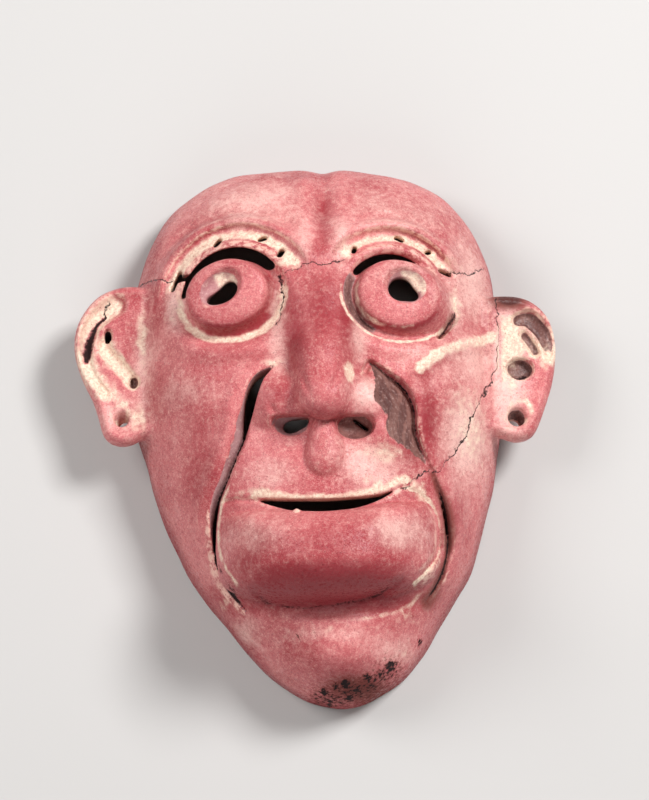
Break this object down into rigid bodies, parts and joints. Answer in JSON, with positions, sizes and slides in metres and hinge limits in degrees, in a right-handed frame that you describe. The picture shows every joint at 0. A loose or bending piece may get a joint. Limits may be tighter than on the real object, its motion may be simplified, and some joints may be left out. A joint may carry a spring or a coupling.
{
  "type": "clay mask",
  "caption": "Hollow grotesque face mask of fired clay with free-standing turret eyes, deep cheek folds, a cut-open mouth, a huge lower lip and pierced ears; lies on its rim, face up.",
  "frame": {"origin": "under the middle of the mask, in the plane of its flat rim", "axes": "+Z out of the face, +Y from the chin to the forehead, +X across the face to the side of the eye that looks straight out"},
  "size_m": [0.1904, 0.2162, 0.0819],
  "materials": {
    "clay": "matt rose-red slip over fired clay, rubbed, with pale earth in the hollows"
  },
  "bodies": {
    "root": {"mask": "clay"}
  },
  "joints": []
}
